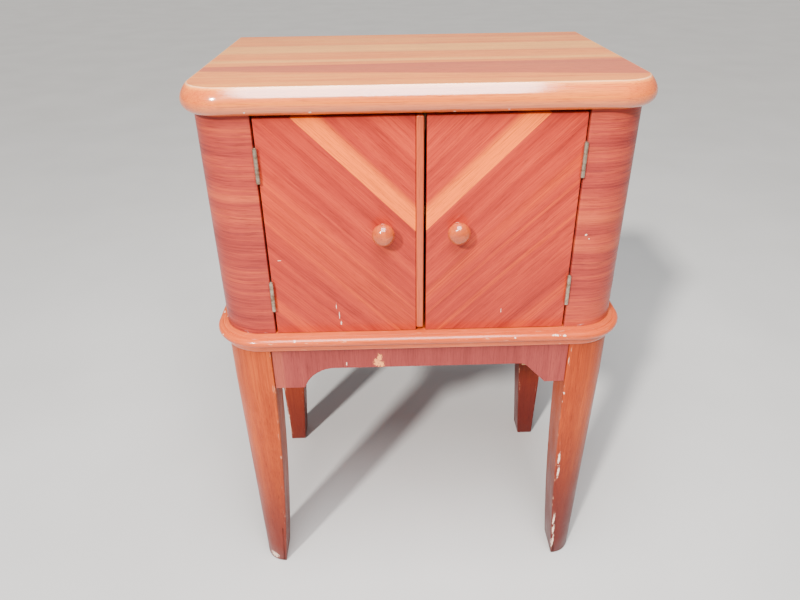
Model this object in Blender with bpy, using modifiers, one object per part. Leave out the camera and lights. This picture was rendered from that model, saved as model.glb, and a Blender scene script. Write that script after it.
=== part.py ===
"""A two-door sewing table: a small bow-cornered cabinet on four tapered legs.

Units are metres. X runs to the right seen from the front, Y to the back, Z up.
The origin is on the floor, under the middle of the bounding box. The doors
turn on two vertical hinge lines, and each is parented to an empty on its line.
"""

import math

import bmesh
import bpy
from mathutils import Matrix, Vector

# Gaps
TOUCH = 0.0003  # between pieces that rest on each other
DOOR_SIDE_GAP = 0.0024  # door to corner panel, filled by the two hinge leaves
DOOR_TOP_GAP = 0.003
DOOR_FLOOR_GAP = 0.002
MEETING_GAP = 0.003  # between the meeting strip and the right door

# Overall
HEIGHT = 0.732
DEPTH_HALF = 0.1841  # the knobs reach furthest forward, the top slab furthest back
CORNER_STEPS = 10

# Top slab
SLAB_THICKNESS = 0.029
SLAB_HALF_WIDTH = 0.2550
SLAB_FRONT = -0.1729
SLAB_CORNER_RADIUS = 0.050
SLAB_ARRIS_INSET = 0.009
SLAB_WIDEST_BELOW_TOP = 0.0175
SLAB_NOSE_STEPS = 5
SLAB_UNDER_RADIUS = 0.0115
SLAB_BOTTOM = HEIGHT - SLAB_THICKNESS

# Cabinet case
CASE_HALF_WIDTH = 0.2455
CASE_FRONT = -0.1604
CASE_BACK = 0.1821
CASE_CORNER_RADIUS = 0.050
PANEL_THICKNESS = 0.012
CASE_FLOOR = 0.4365

# Base board, with a bead and a set-back fillet below it
BASE_THICKNESS = 0.022
BASE_SIDE_OVERHANG = 0.012
BASE_FRONT_OVERHANG = 0.0165
BEAD_RADIUS = 0.0057
BEAD_QUIRK = 0.0012
BEAD_STEPS = 6
FILLET_INSET = 0.0075
BASE_BOTTOM = CASE_FLOOR - BASE_THICKNESS

# Doors
DOOR_THICKNESS = 0.018
DOOR_OUTER_EDGE = 0.1755
LEFT_DOOR_MEETING_EDGE = -0.0055
STRIP_WIDTH = 0.0085
STRIP_PROUD = 0.002
STRIP_END_INSET = 0.003
DOOR_BOTTOM = CASE_FLOOR + DOOR_FLOOR_GAP
DOOR_TOP = SLAB_BOTTOM - DOOR_TOP_GAP
DOOR_BACK = CASE_FRONT + DOOR_THICKNESS
STRIP_OUTER_EDGE = LEFT_DOOR_MEETING_EDGE + TOUCH + STRIP_WIDTH
RIGHT_DOOR_MEETING_EDGE = STRIP_OUTER_EDGE + MEETING_GAP
EDGE_SOFTENING = 0.0008

# Hinges: butt hinges, leaves in the side gap and knuckles proud of the front
HINGE_LENGTH = 0.038
HINGE_CENTRES_Z = {"upper": 0.6495, "lower": 0.4898}
KNUCKLE_RADIUS = 0.0025
KNUCKLE_COUNT = 5
KNUCKLE_GAP = 0.00025
BORE_RADIUS = 0.0013
PIN_RADIUS = 0.00115
PIN_HEAD_RADIUS = 0.0021
PIN_HEAD_HEIGHT = 0.0008
LEAF_THICKNESS = 0.00075
LEAF_DEPTH = 0.0155
AXIS_X = DOOR_OUTER_EDGE + 0.0004
AXIS_Y = CASE_FRONT - KNUCKLE_RADIUS - TOUCH
ROUND_SIDES = 24

# Knobs
KNOB_X = 0.0424
KNOB_Z = 0.5708
KNOB_RADIUS = 0.0130
KNOB_CENTRE_HEIGHT = 0.0130
KNOB_HALF_LENGTH = CASE_FRONT - TOUCH - KNOB_CENTRE_HEIGHT + DEPTH_HALF
KNOB_NECK_RADIUS = 0.0070
KNOB_NECK_HEIGHT = 0.0032
KNOB_FOOT_RADIUS = 0.0088
KNOB_FOOT_HEIGHT = 0.0014
KNOB_HOLE_DEPTH = 0.011
SCREW_RADIUS = 0.0018
SCREW_HOLE_RADIUS = 0.0022
SCREW_HEAD_RADIUS = 0.0042
SCREW_HEAD_HEIGHT = 0.0022
SCREW_GRIP = 0.009

# Carcass pieces inside
STILE_WIDTH = 0.017
STILE_DEPTH = 0.022
RAIL_HEIGHT = 0.024
RAIL_DEPTH = 0.018
CLEAT_SIZE = 0.018
CLEAT_FRONT = -0.096
CLEAT_BACK = 0.154
BACK_THICKNESS = 0.006
SHELF_TOP = 0.576
SHELF_THICKNESS = 0.012
SHELF_FRONT = -0.104
SHELF_SIDE_GAP = 0.0006

# Door catches: a spring clip under the rail and a stud on the door
CATCH_X = 0.024
CATCH_WIDTH = 0.012
CATCH_PLATE = 0.0012
CATCH_DEPTH = 0.014
CATCH_HALF_MOUTH = 0.0026
CATCH_CENTRE_DROP = 0.013
STRIKE_HALF_HEIGHT = 0.009
STRIKE_THICKNESS = 0.0010
STUD_RADIUS = 0.0019
STUD_LENGTH = 0.008

# Legs: straight beside the aprons, tapered below them
LEG_TAPER_TOP = 0.354
FRONT_LEG_TOP = {"inner": 0.187, "outer": 0.2450, "front": -0.1654, "back": -0.1134, "radius": 0.048}
FRONT_LEG_FOOT = {"inner": 0.2095, "outer": 0.2410, "front": -0.1424, "back": -0.0969, "radius": 0.030}
REAR_LEG_TOP = {"inner": 0.186, "outer": 0.2425, "front": 0.1321, "back": 0.1821, "radius": 0.002}
REAR_LEG_FOOT = {"inner": 0.208, "outer": 0.2350, "front": 0.1426, "back": 0.1816, "radius": 0.002}
LEG_CORNER_STEPS = 8

# Aprons
APRON_THICKNESS = 0.018
APRON_FRONT = -0.1619
SIDE_APRON_OUTER = 0.2410
BACK_APRON_BACK = 0.1801
ARCH_TOP = 0.3833
ARCH_ENDS = {
    "left": {"flat_end": 0.1085, "radius": 0.042, "turn": math.radians(65)},
    "right": {"flat_end": 0.127, "radius": 0.014, "turn": math.radians(46)},
}
ARCH_STEPS = 8

# Corner braces
BRACE_THICKNESS = 0.014
BRACE_LEG_CLEARANCE = 0.002
BRACE_BOTTOM = 0.368
BRACE_TOP = 0.412

COLOURS = {
    "top": (0.55, 0.22, 0.09),
    "veneer": (0.40, 0.11, 0.06),
    "base": (0.50, 0.20, 0.09),
    "leg": (0.45, 0.17, 0.07),
    "carcass": (0.42, 0.26, 0.13),
    "brass": (0.55, 0.45, 0.28),
    "steel": (0.45, 0.43, 0.40),
}
METALS = ("brass", "steel")

SIDES = {"left": -1, "right": 1}


def clear_scene():
    for obj in list(bpy.data.objects):
        bpy.data.objects.remove(obj, do_unlink=True)


def new_collection(name):
    collection = bpy.data.collections.new(name)
    bpy.context.scene.collection.children.link(collection)
    return collection


def finish_piece(obj, collection, colour):
    """Puts a piece in its collection with a plain material of its own."""
    collection.objects.link(obj)
    material = bpy.data.materials.new(obj.name)
    material.use_nodes = True
    shader = material.node_tree.nodes["Principled BSDF"]
    shader.inputs["Base Color"].default_value = (*COLOURS[colour], 1.0)
    shader.inputs["Metallic"].default_value = 1.0 if colour in METALS else 0.0
    shader.inputs["Roughness"].default_value = 0.4 if colour in METALS else 0.35
    obj.data.materials.clear()
    obj.data.materials.append(material)
    return obj


def mesh_object(name, build):
    """An object whose mesh is made by build(bm)."""
    mesh = bpy.data.meshes.new(name)
    bm = bmesh.new()
    build(bm)
    bmesh.ops.recalc_face_normals(bm, faces=bm.faces)
    bm.to_mesh(mesh)
    bm.free()
    return bpy.data.objects.new(name, mesh)


def box_object(name, low, high):
    low, high = Vector(low), Vector(high)

    def build(bm):
        bmesh.ops.create_cube(bm, size=1.0)
        bmesh.ops.scale(bm, vec=high - low, verts=bm.verts)

    obj = mesh_object(name, build)
    obj.location = (low + high) / 2
    return obj


def cylinder_object(name, radius, length, centre, along="Z", sides=ROUND_SIDES):
    turn = {"X": Matrix.Rotation(math.pi / 2, 3, "Y"), "Y": Matrix.Rotation(math.pi / 2, 3, "X")}

    def build(bm):
        bmesh.ops.create_cone(
            bm, cap_ends=True, segments=sides, radius1=radius, radius2=radius, depth=length
        )
        if along in turn:
            bmesh.ops.rotate(bm, matrix=turn[along], verts=bm.verts)

    obj = mesh_object(name, build)
    obj.location = centre
    return obj


def outline_object(name, points, low_z, high_z):
    """A flat outline of (x, y) points, standing from low_z to high_z."""
    curve = bpy.data.curves.new(name, "CURVE")
    curve.dimensions = "2D"
    curve.fill_mode = "BOTH"
    curve.extrude = (high_z - low_z) / 2
    spline = curve.splines.new("POLY")
    spline.points.add(len(points) - 1)
    for point, (x, y) in zip(spline.points, points):
        point.co = (x, y, 0.0, 1.0)
    spline.use_cyclic_u = True
    obj = bpy.data.objects.new(name, curve)
    obj.location = (0.0, 0.0, (low_z + high_z) / 2)
    return obj


def turned_object(name, profile, sides=ROUND_SIDES):
    """A solid of revolution about local Z, its profile of (radius, height) from top to bottom."""
    mesh = bpy.data.meshes.new(name)
    vertices = [(radius, 0.0, height) for radius, height in profile]
    mesh.from_pydata(vertices, [(i, i + 1) for i in range(len(vertices) - 1)], [])
    obj = bpy.data.objects.new(name, mesh)
    screw = obj.modifiers.new("turn", "SCREW")
    screw.axis = "Z"
    screw.steps = sides
    screw.render_steps = sides
    screw.use_merge_vertices = True
    screw.merge_threshold = 0.00001
    screw.use_smooth_shade = True
    return obj


def loft_object(name, rings):
    """A solid skin through rings of equal length, closed by a flat face at each end."""

    def build(bm):
        rows = [[bm.verts.new(point) for point in ring] for ring in rings]
        for lower, upper in zip(rows, rows[1:]):
            for i in range(len(lower)):
                j = (i + 1) % len(lower)
                bm.faces.new((lower[i], lower[j], upper[j], upper[i]))
        bm.faces.new(reversed(rows[0]))
        bm.faces.new(rows[-1])

    return mesh_object(name, build)


def soften(obj, width, segments=2):
    bevel = obj.modifiers.new("softened_edges", "BEVEL")
    bevel.width = width
    bevel.segments = segments
    bevel.limit_method = "ANGLE"
    bevel.angle_limit = math.radians(40)
    return obj


def combine(obj, other, operation):
    """Adds a Boolean with another object, which becomes a hidden cutter."""
    boolean = obj.modifiers.new(other.name, "BOOLEAN")
    boolean.operation = operation
    boolean.solver = "EXACT"
    boolean.object = other
    cutters.objects.link(other)
    other.hide_render = True
    other.display_type = "WIRE"


def arc(centre, radius, start, end, steps):
    """Points on an arc, both ends included; angles in radians from +X towards +Y."""
    for i in range(steps + 1):
        angle = start + (end - start) * i / steps
        yield centre[0] + radius * math.cos(angle), centre[1] + radius * math.sin(angle)


def board_outline(half_width, front, back, radius):
    """A board with two rounded front corners and a square back, anticlockwise from above."""
    quarter = math.pi / 2
    left_centre = (-half_width + radius, front + radius)
    right_centre = (half_width - radius, front + radius)
    points = [(half_width, back), (-half_width, back)]
    points += arc(left_centre, radius, math.pi, math.pi + quarter, CORNER_STEPS)
    points += arc(right_centre, radius, math.pi + quarter, 2 * math.pi, CORNER_STEPS)
    return points


def moulded_board(name, half_width, front, back, radius, profile):
    """A board whose front and side edges follow a profile of (inset, height)."""
    rings = []
    for inset, height in profile:
        outline = board_outline(half_width - inset, front + inset, back, radius - inset)
        rings.append([(x, y, height) for x, y in outline])
    return loft_object(name, rings)


def slab_profile():
    """From the bottom up: a small under-curve to the widest line, then a fuller nose to the arris."""
    widest = HEIGHT - SLAB_WIDEST_BELOW_TOP
    centre = (SLAB_UNDER_RADIUS, widest)
    under = list(arc(centre, SLAB_UNDER_RADIUS, 1.5 * math.pi, math.pi, SLAB_NOSE_STEPS))
    nose = []
    for i in range(1, SLAB_NOSE_STEPS + 1):
        angle = math.pi / 2 * i / SLAB_NOSE_STEPS
        inset = SLAB_ARRIS_INSET * (1 - math.cos(angle)) ** 0.9
        nose.append((inset, widest + SLAB_WIDEST_BELOW_TOP * math.sin(angle)))
    return under + nose


def base_profile():
    """From the bottom up: a set-back fillet, a half-round bead, a quirk and the flat top."""
    bead_top = CASE_FLOOR - BEAD_QUIRK
    centre = (BEAD_RADIUS, bead_top - BEAD_RADIUS)
    bead = list(arc(centre, BEAD_RADIUS, 1.5 * math.pi, math.pi / 2, BEAD_STEPS * 2))
    bead_bottom = bead_top - 2 * BEAD_RADIUS
    fillet = [(FILLET_INSET + BEAD_QUIRK, BASE_BOTTOM), (FILLET_INSET, bead_bottom)]
    quirk = [(BEAD_RADIUS + BEAD_QUIRK, bead_top), (BEAD_RADIUS + BEAD_QUIRK, CASE_FLOOR)]
    return fillet + bead + quirk


def make_boards():
    slab = moulded_board(
        "top_slab", SLAB_HALF_WIDTH, SLAB_FRONT, DEPTH_HALF, SLAB_CORNER_RADIUS, slab_profile()
    )
    finish_piece(slab, pieces, "top")
    base = moulded_board(
        "base_board",
        CASE_HALF_WIDTH + BASE_SIDE_OVERHANG,
        CASE_FRONT - BASE_FRONT_OVERHANG,
        CASE_BACK,
        CASE_CORNER_RADIUS + BASE_SIDE_OVERHANG,
        base_profile(),
    )
    finish_piece(base, pieces, "base")


def make_side_panel(side_name, side):
    """A bent panel: flat side, quarter-round front corner and a short flat front."""
    low, high = CASE_FLOOR + TOUCH, SLAB_BOTTOM - TOUCH
    centre = (CASE_HALF_WIDTH - CASE_CORNER_RADIUS, CASE_FRONT + CASE_CORNER_RADIUS)
    path = [(CASE_HALF_WIDTH, CASE_BACK)]
    path += arc(centre, CASE_CORNER_RADIUS, 0.0, -math.pi / 2, CORNER_STEPS)
    path.append((DOOR_OUTER_EDGE + DOOR_SIDE_GAP, CASE_FRONT))

    def build(bm):
        bottom = [bm.verts.new((side * x, y, low)) for x, y in path]
        edges = [bm.edges.new(pair) for pair in zip(bottom, bottom[1:])]
        lifted = bmesh.ops.extrude_edge_only(bm, edges=edges)["geom"]
        lifted_verts = [item for item in lifted if isinstance(item, bmesh.types.BMVert)]
        bmesh.ops.translate(bm, vec=(0.0, 0.0, high - low), verts=lifted_verts)

    panel = mesh_object(f"side_panel_{side_name}", build)
    outward = Vector((side, 0.0, 0.0))
    first = panel.data.polygons[0]
    solid = panel.modifiers.new("panel_thickness", "SOLIDIFY")
    solid.thickness = PANEL_THICKNESS
    solid.use_even_offset = True
    solid.offset = -1.0 if first.normal.dot(outward) > 0 else 1.0
    finish_piece(panel, pieces, "veneer")


def make_carcass():
    inner = CASE_HALF_WIDTH - PANEL_THICKNESS - TOUCH
    case_low, case_high = CASE_FLOOR + TOUCH, SLAB_BOTTOM - TOUCH
    stile_inner = DOOR_OUTER_EDGE + DOOR_SIDE_GAP
    stile_front = CASE_FRONT + PANEL_THICKNESS + TOUCH
    shelf_bottom = SHELF_TOP - SHELF_THICKNESS
    cleat_tops = {"top_cleat": case_high, "shelf_cleat": shelf_bottom - TOUCH}

    for side_name, side in SIDES.items():
        make_side_panel(side_name, side)
        stile_x = sorted((side * stile_inner, side * (stile_inner + STILE_WIDTH)))
        stile = box_object(
            f"front_stile_{side_name}",
            (stile_x[0], stile_front, case_low),
            (stile_x[1], stile_front + STILE_DEPTH, case_high),
        )
        finish_piece(soften(stile, EDGE_SOFTENING), pieces, "carcass")
        for cleat_name, top in cleat_tops.items():
            cleat_x = sorted((side * inner, side * (inner - CLEAT_SIZE)))
            cleat = box_object(
                f"{cleat_name}_{side_name}",
                (cleat_x[0], CLEAT_FRONT, top - CLEAT_SIZE),
                (cleat_x[1], CLEAT_BACK, top),
            )
            finish_piece(soften(cleat, EDGE_SOFTENING), pieces, "carcass")

    back_front = CASE_BACK - BACK_THICKNESS
    back = box_object("back_panel", (-inner, back_front, case_low), (inner, CASE_BACK, case_high))
    finish_piece(back, pieces, "carcass")

    shelf_half = inner - SHELF_SIDE_GAP
    shelf = box_object(
        "shelf",
        (-shelf_half, SHELF_FRONT, shelf_bottom),
        (shelf_half, back_front - TOUCH, SHELF_TOP),
    )
    finish_piece(soften(shelf, EDGE_SOFTENING), pieces, "carcass")

    rail_half = stile_inner - TOUCH
    rail_front = DOOR_BACK + TOUCH
    rail = box_object(
        "top_rail",
        (-rail_half, rail_front, case_high - RAIL_HEIGHT),
        (rail_half, rail_front + RAIL_DEPTH, case_high),
    )
    finish_piece(soften(rail, EDGE_SOFTENING), pieces, "carcass")


def leg_ring(section, side, height):
    """One leg section with its outer front corner rounded."""
    radius = section["radius"]
    centre = (section["outer"] - radius, section["front"] + radius)
    points = [(section["inner"], section["front"])]
    points += arc(centre, radius, -math.pi / 2, 0.0, LEG_CORNER_STEPS)
    points += [(section["outer"], section["back"]), (section["inner"], section["back"])]
    ring = [(side * x, y, height) for x, y in points]
    return ring if side > 0 else list(reversed(ring))


def make_legs():
    leg_top = BASE_BOTTOM - TOUCH
    sections = {"front": (FRONT_LEG_FOOT, FRONT_LEG_TOP), "rear": (REAR_LEG_FOOT, REAR_LEG_TOP)}
    for end, (foot, top) in sections.items():
        for side_name, side in SIDES.items():
            rings = [
                leg_ring(foot, side, 0.0),
                leg_ring(top, side, LEG_TAPER_TOP),
                leg_ring(top, side, leg_top),
            ]
            leg = loft_object(f"leg_{end}_{side_name}", rings)
            finish_piece(leg, pieces, "leg")


def arch_end(side_name, bottom):
    """One end of the arch: from the flat, round an arc and straight down to the bottom edge."""
    end = ARCH_ENDS[side_name]
    side = SIDES[side_name]
    quarter = math.pi / 2
    centre = (end["flat_end"], ARCH_TOP - end["radius"])
    points = list(arc(centre, end["radius"], quarter, quarter - end["turn"], ARCH_STEPS))
    last_x, last_z = points[-1]
    points.append((last_x + (last_z - bottom) / math.tan(end["turn"]), bottom))
    return [(side * x, z) for x, z in points]


def arch_outline(half_length, bottom, top):
    """The front apron seen from the front: square ends and a low arch, its two ends cut unlike."""
    corners = [(half_length, bottom), (half_length, top), (-half_length, top), (-half_length, bottom)]
    return corners + arch_end("left", bottom)[::-1] + arch_end("right", bottom)


def make_aprons():
    bottom, top = LEG_TAPER_TOP, BASE_BOTTOM - TOUCH
    outline = arch_outline(FRONT_LEG_TOP["inner"] - TOUCH, bottom, top)
    front = outline_object("apron_front", outline, APRON_FRONT, APRON_FRONT + APRON_THICKNESS)
    front.rotation_euler = (math.pi / 2, 0.0, 0.0)
    front.location = (0.0, APRON_FRONT + APRON_THICKNESS / 2, 0.0)
    finish_piece(front, pieces, "veneer")

    back_half = REAR_LEG_TOP["inner"] - TOUCH
    back_front = BACK_APRON_BACK - APRON_THICKNESS
    back = box_object("apron_back", (-back_half, back_front, bottom), (back_half, BACK_APRON_BACK, top))
    finish_piece(soften(back, EDGE_SOFTENING), pieces, "carcass")

    side_front = FRONT_LEG_TOP["back"] + TOUCH
    side_back = REAR_LEG_TOP["front"] - TOUCH
    for side_name, side in SIDES.items():
        faces_x = sorted((side * SIDE_APRON_OUTER, side * (SIDE_APRON_OUTER - APRON_THICKNESS)))
        apron = box_object(
            f"apron_{side_name}", (faces_x[0], side_front, bottom), (faces_x[1], side_back, top)
        )
        finish_piece(soften(apron, EDGE_SOFTENING), pieces, "veneer")


def make_braces():
    """A diagonal bar in each corner, from the front or back apron to the side apron."""
    side_face = SIDE_APRON_OUTER - APRON_THICKNESS - TOUCH
    diagonal = math.sqrt(2)
    ends = {
        "front": (1, APRON_FRONT + APRON_THICKNESS + TOUCH, FRONT_LEG_TOP["back"]),
        "rear": (-1, BACK_APRON_BACK - APRON_THICKNESS - TOUCH, REAR_LEG_TOP["front"]),
    }
    legs = {"front": FRONT_LEG_TOP, "rear": REAR_LEG_TOP}
    for end, (inward, apron_face, leg_face) in ends.items():
        leg_corner = legs[end]["inner"] - inward * leg_face
        outer = leg_corner - BRACE_LEG_CLEARANCE * diagonal
        inner = outer - BRACE_THICKNESS * diagonal
        for side_name, side in SIDES.items():
            points = [
                (side * (outer + inward * apron_face), apron_face),
                (side * (inner + inward * apron_face), apron_face),
                (side * side_face, inward * (side_face - inner)),
                (side * side_face, inward * (side_face - outer)),
            ]
            brace = outline_object(f"corner_brace_{end}_{side_name}", points, BRACE_BOTTOM, BRACE_TOP)
            finish_piece(brace, pieces, "carcass")


def screw_hole(obj, x, z, tag):
    hole_length = DOOR_THICKNESS * 3
    centre = (x, CASE_FRONT + DOOR_THICKNESS / 2, z)
    hole = cylinder_object(f"{tag}_hole", SCREW_HOLE_RADIUS, hole_length, centre, along="Y")
    combine(obj, hole, "DIFFERENCE")


def knob_profile():
    """A ball knob with a short neck and foot, and a blind hole for its screw."""
    lower_angle = math.radians(-52)
    steps = 12
    points = [(0.0, KNOB_CENTRE_HEIGHT + KNOB_HALF_LENGTH)]
    for i in range(1, steps + 1):
        angle = math.pi / 2 + (lower_angle - math.pi / 2) * i / steps
        height = KNOB_CENTRE_HEIGHT + KNOB_HALF_LENGTH * math.sin(angle)
        points.append((KNOB_RADIUS * math.cos(angle), height))
    points += [
        (KNOB_NECK_RADIUS, KNOB_NECK_HEIGHT),
        (KNOB_FOOT_RADIUS, KNOB_FOOT_HEIGHT),
        (KNOB_FOOT_RADIUS, 0.0),
        (SCREW_HOLE_RADIUS, 0.0),
        (SCREW_HOLE_RADIUS, KNOB_HOLE_DEPTH),
        (0.0, KNOB_HOLE_DEPTH + SCREW_HOLE_RADIUS),
    ]
    return points


def screw_profile():
    """A round-head screw whose head rests on the door's back and whose end is in the knob."""
    shank = DOOR_THICKNESS + 2 * TOUCH + SCREW_GRIP
    tip = shank + SCREW_RADIUS
    return [
        (0.0, tip),
        (SCREW_RADIUS, shank),
        (SCREW_RADIUS, 0.0),
        (SCREW_HEAD_RADIUS, 0.0),
        (SCREW_HEAD_RADIUS * 0.75, -SCREW_HEAD_HEIGHT * 0.7),
        (0.0, -SCREW_HEAD_HEIGHT),
    ]


def parent_to(obj, empty):
    obj.parent = empty
    obj.matrix_parent_inverse = Matrix.Translation(-empty.location)


def make_knob(side_name, side, axis_empty):
    forward = (math.pi / 2, 0.0, 0.0)
    knob = turned_object(f"knob_{side_name}", knob_profile())
    knob.rotation_euler = forward
    knob.location = (side * KNOB_X, CASE_FRONT - TOUCH, KNOB_Z)
    finish_piece(knob, pieces, "leg")
    parent_to(knob, axis_empty)

    screw = turned_object(f"knob_screw_{side_name}", screw_profile(), sides=16)
    screw.rotation_euler = forward
    screw.location = (side * KNOB_X, DOOR_BACK + TOUCH, KNOB_Z)
    finish_piece(screw, pieces, "steel")
    parent_to(screw, axis_empty)


def make_doors():
    edges = {
        "left": (-DOOR_OUTER_EDGE, LEFT_DOOR_MEETING_EDGE),
        "right": (RIGHT_DOOR_MEETING_EDGE, DOOR_OUTER_EDGE),
    }
    for side_name, side in SIDES.items():
        low_x, high_x = edges[side_name]
        axis_empty = axis_empties[side_name]
        door = box_object(
            f"door_{side_name}", (low_x, CASE_FRONT, DOOR_BOTTOM), (high_x, DOOR_BACK, DOOR_TOP)
        )
        soften(door, EDGE_SOFTENING)
        screw_hole(door, side * KNOB_X, KNOB_Z, f"door_{side_name}")
        finish_piece(door, pieces, "veneer")
        parent_to(door, axis_empty)
        make_knob(side_name, side, axis_empty)

    strip = box_object(
        "meeting_strip",
        (STRIP_OUTER_EDGE - STRIP_WIDTH, CASE_FRONT - STRIP_PROUD, DOOR_BOTTOM + STRIP_END_INSET),
        (STRIP_OUTER_EDGE, DOOR_BACK, DOOR_TOP),
    )
    soften(strip, STRIP_PROUD * 0.9, segments=3)
    finish_piece(strip, pieces, "leg")
    parent_to(strip, axis_empties["left"])


def leaf_mesh(name, plate_x, knuckles):
    """One hinge leaf: its plate, its own knuckles and the bore, about the pin's axis.

    plate_x is the leaf's inner face, and knuckles says which of the knuckles are its own.
    """
    pitch = (HINGE_LENGTH + KNUCKLE_GAP) / KNUCKLE_COUNT
    length = pitch - KNUCKLE_GAP
    plate_front = KNUCKLE_RADIUS + 2 * TOUCH
    plate_back = KNUCKLE_RADIUS + TOUCH + LEAF_DEPTH
    half = HINGE_LENGTH / 2
    leaf = box_object(
        name, (plate_x, plate_front, -half), (plate_x + LEAF_THICKNESS, plate_back, half)
    )
    cutters.objects.link(leaf)
    for index in knuckles:
        low = -half + index * pitch
        tab = box_object(
            f"{name}_tab_{index}",
            (plate_x, 0.0, low),
            (plate_x + LEAF_THICKNESS, plate_front + LEAF_THICKNESS, low + length),
        )
        combine(leaf, tab, "UNION")
        knuckle = cylinder_object(
            f"{name}_knuckle_{index}", KNUCKLE_RADIUS, length, (0.0, 0.0, low + length / 2)
        )
        combine(leaf, knuckle, "UNION")
    bore = cylinder_object(f"{name}_bore", BORE_RADIUS, HINGE_LENGTH * 1.5, (0.0, 0.0, 0.0))
    combine(leaf, bore, "DIFFERENCE")
    bpy.context.view_layer.update()
    graph = bpy.context.evaluated_depsgraph_get()
    mesh = bpy.data.meshes.new_from_object(leaf.evaluated_get(graph))
    mesh.transform(leaf.matrix_world)
    for modifier in leaf.modifiers:
        bpy.data.objects.remove(modifier.object, do_unlink=True)
    bpy.data.objects.remove(leaf, do_unlink=True)
    return mesh


def pin_profile():
    """A hinge pin with a low domed head at each end."""
    head_start = HINGE_LENGTH / 2 + TOUCH
    top = head_start + PIN_HEAD_HEIGHT
    half = [
        (0.0, top),
        (PIN_HEAD_RADIUS * 0.7, top - PIN_HEAD_HEIGHT * 0.2),
        (PIN_HEAD_RADIUS, head_start + PIN_HEAD_HEIGHT * 0.3),
        (PIN_HEAD_RADIUS, head_start),
        (PIN_RADIUS, head_start),
    ]
    return half + [(radius, -height) for radius, height in reversed(half)]


def make_hinges():
    """Four butt hinges. A left one is a right one turned half round about the depth axis."""
    door_plate_x = DOOR_OUTER_EDGE + TOUCH - AXIS_X
    case_plate_x = DOOR_OUTER_EDGE + DOOR_SIDE_GAP - TOUCH - LEAF_THICKNESS - AXIS_X
    door_leaf = leaf_mesh("door_leaf", door_plate_x, knuckles=(1, 3))
    case_leaf = leaf_mesh("case_leaf", case_plate_x, knuckles=(0, 2, 4))
    for side_name, side in SIDES.items():
        turn = (0.0, 0.0 if side > 0 else math.pi, 0.0)
        for level, height in HINGE_CENTRES_Z.items():
            place = (side * AXIS_X, AXIS_Y, height)
            tag = f"{level}_{side_name}"
            leaves = {"case": case_leaf, "door": door_leaf}
            for owner, mesh in leaves.items():
                leaf = bpy.data.objects.new(f"hinge_{owner}_leaf_{tag}", mesh.copy())
                leaf.location = place
                leaf.rotation_euler = turn
                finish_piece(leaf, pieces, "brass")
                if owner == "door":
                    parent_to(leaf, axis_empties[side_name])
            pin = turned_object(f"hinge_pin_{tag}", pin_profile(), sides=16)
            pin.location = place
            finish_piece(pin, pieces, "brass")


def catch_outline(rail_bottom, centre_z):
    """A spring clip seen from its side as (depth, height): flange, web and two fingers."""
    front = DOOR_BACK + 2 * TOUCH + STRIKE_THICKNESS + TOUCH
    back = front + CATCH_DEPTH
    flange_bottom = rail_bottom - CATCH_PLATE
    upper = centre_z + CATCH_HALF_MOUTH
    lower = centre_z - CATCH_HALF_MOUTH
    return [
        (back, rail_bottom),
        (front, rail_bottom),
        (front, flange_bottom),
        (back - CATCH_PLATE, flange_bottom),
        (back - CATCH_PLATE, upper + CATCH_PLATE),
        (front, upper + CATCH_PLATE),
        (front, upper),
        (back - CATCH_PLATE, upper),
        (back - CATCH_PLATE, lower),
        (front, lower),
        (front, lower - CATCH_PLATE),
        (back, lower - CATCH_PLATE),
    ]


def make_catches():
    rail_bottom = SLAB_BOTTOM - TOUCH - RAIL_HEIGHT - TOUCH
    centre_z = rail_bottom - CATCH_CENTRE_DROP
    outline = catch_outline(rail_bottom, centre_z)
    for side_name, side in SIDES.items():
        catch = outline_object(f"catch_{side_name}", outline, -CATCH_WIDTH / 2, CATCH_WIDTH / 2)
        catch.rotation_euler = (math.pi / 2, 0.0, math.pi / 2)
        catch.location = (side * CATCH_X, 0.0, 0.0)
        finish_piece(catch, pieces, "brass")

        plate_front = DOOR_BACK + TOUCH
        plate_back = plate_front + STRIKE_THICKNESS
        strike = box_object(
            f"strike_{side_name}",
            (side * CATCH_X - CATCH_WIDTH / 2, plate_front, centre_z - STRIKE_HALF_HEIGHT),
            (side * CATCH_X + CATCH_WIDTH / 2, plate_back, centre_z + STRIKE_HALF_HEIGHT),
        )
        stud = cylinder_object(
            f"strike_{side_name}_stud",
            STUD_RADIUS,
            STUD_LENGTH,
            (side * CATCH_X, plate_front + STUD_LENGTH / 2, centre_z),
            along="Y",
        )
        combine(strike, stud, "UNION")
        finish_piece(strike, pieces, "brass")
        parent_to(strike, axis_empties[side_name])


clear_scene()
pieces = new_collection("sewing_table")
cutters = new_collection("cutters")

axis_empties = {}
for axis_side_name, axis_side in SIDES.items():
    axis_empty = bpy.data.objects.new(f"{axis_side_name}_door_axis", None)
    axis_empty.location = (axis_side * AXIS_X, AXIS_Y, (DOOR_BOTTOM + DOOR_TOP) / 2)
    axis_empty.empty_display_size = 0.03
    pieces.objects.link(axis_empty)
    axis_empties[axis_side_name] = axis_empty

make_boards()
make_carcass()
make_legs()
make_aprons()
make_braces()
make_doors()
make_hinges()
make_catches()
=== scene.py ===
"""The looks of the two-door sewing table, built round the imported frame.

Metres, with X to the right, Y to the back and Z up. The finely shaped wood pieces
stand for their plain CAD nodes; the aprons, the hidden carcass and the metal keep
theirs. Colours are linear.
"""

import math

import bmesh
import bpy
from mathutils import Matrix, Vector, noise


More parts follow.
